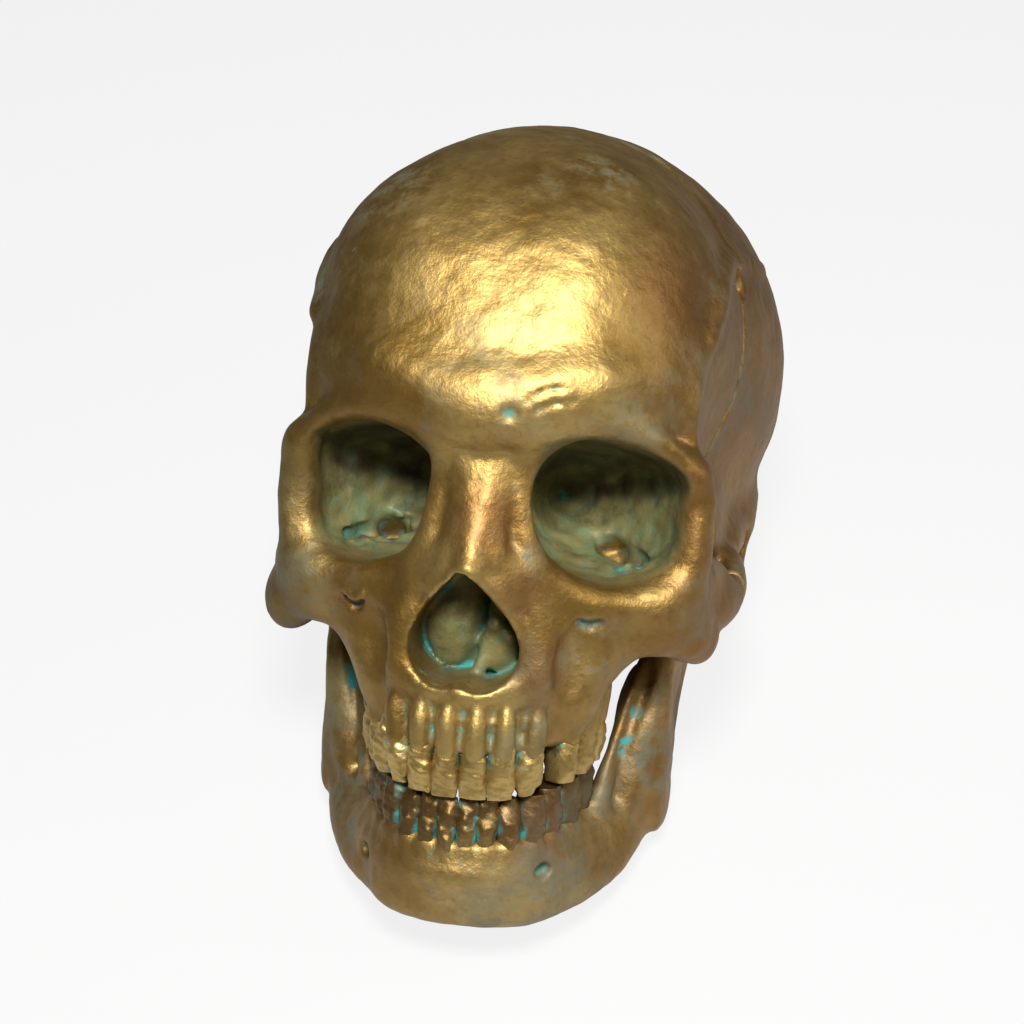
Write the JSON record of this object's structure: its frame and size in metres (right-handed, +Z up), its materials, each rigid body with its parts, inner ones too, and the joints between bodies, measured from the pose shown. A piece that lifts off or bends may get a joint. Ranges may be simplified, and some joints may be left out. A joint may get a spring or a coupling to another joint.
{
  "type": "skull decoration",
  "caption": "Life-size skull ornament with a sprung, hinged lower jaw and separately set teeth, finished in bronze paint with green patina, resting on its jaw angles and the back of the head.",
  "frame": {"origin": "middle of the object's box on the plane that it rests on, under its jaw angles and the back of the head", "axes": "+Z up, -Y towards the side that the face looks to, +X towards the skull's left; the head is tipped back as it lies"},
  "size_m": [0.1364, 0.2318, 0.1689],
  "materials": {
    "bronze_paint": "satin metallic bronze paint with green patina in the recesses, on cast resin",
    "umber_paint": "satin metallic brown-bronze paint with green patina in the recesses, on cast resin",
    "tooth_paint": "satin pale bronze paint, on cast resin",
    "steel": "bright spring wire and screws"
  },
  "bodies": {
    "cranium": {"face_shell": "bronze_paint", "braincase_shell": "bronze_paint", "upper_left_central_incisor": "tooth_paint", "upper_right_central_incisor": "tooth_paint", "upper_left_lateral_incisor": "tooth_paint", "upper_right_lateral_incisor": "tooth_paint", "upper_left_canine": "tooth_paint", "upper_right_canine": "tooth_paint", "upper_right_first_premolar": "tooth_paint", "upper_left_second_premolar": "tooth_paint", "upper_right_second_premolar": "tooth_paint", "upper_left_first_molar": "tooth_paint", "upper_right_first_molar": "tooth_paint", "upper_left_second_molar": "tooth_paint", "upper_right_second_molar": "tooth_paint", "left_cheek_screw": "steel", "right_cheek_screw": "steel", "left_jaw_spring": "steel", "right_jaw_spring": "steel"},
    "jaw": {"lower_jaw": "umber_paint", "lower_left_central_incisor": "tooth_paint", "lower_right_central_incisor": "tooth_paint", "lower_left_lateral_incisor": "tooth_paint", "lower_right_lateral_incisor": "tooth_paint", "lower_left_canine": "tooth_paint", "lower_right_canine": "tooth_paint", "lower_left_first_premolar": "tooth_paint", "lower_right_first_premolar": "tooth_paint", "lower_left_second_premolar": "tooth_paint", "lower_right_second_premolar": "tooth_paint", "lower_left_first_molar": "tooth_paint", "lower_right_first_molar": "tooth_paint", "lower_left_second_molar": "tooth_paint", "lower_right_second_molar": "tooth_paint", "left_jaw_screw": "steel", "right_jaw_screw": "steel"}
  },
  "joints": [
    {"name": "jaw_hinge", "type": "hinge", "parent": "cranium", "child": "jaw", "pos_m": [0, -0.00756, 0.05309], "axis": [1, 0, 0], "range_deg": [0, 18], "stiffness_Nm_per_rad": 0.2, "springref_deg": -28.65, "deforming": ["left_jaw_spring", "right_jaw_spring"]}
  ]
}
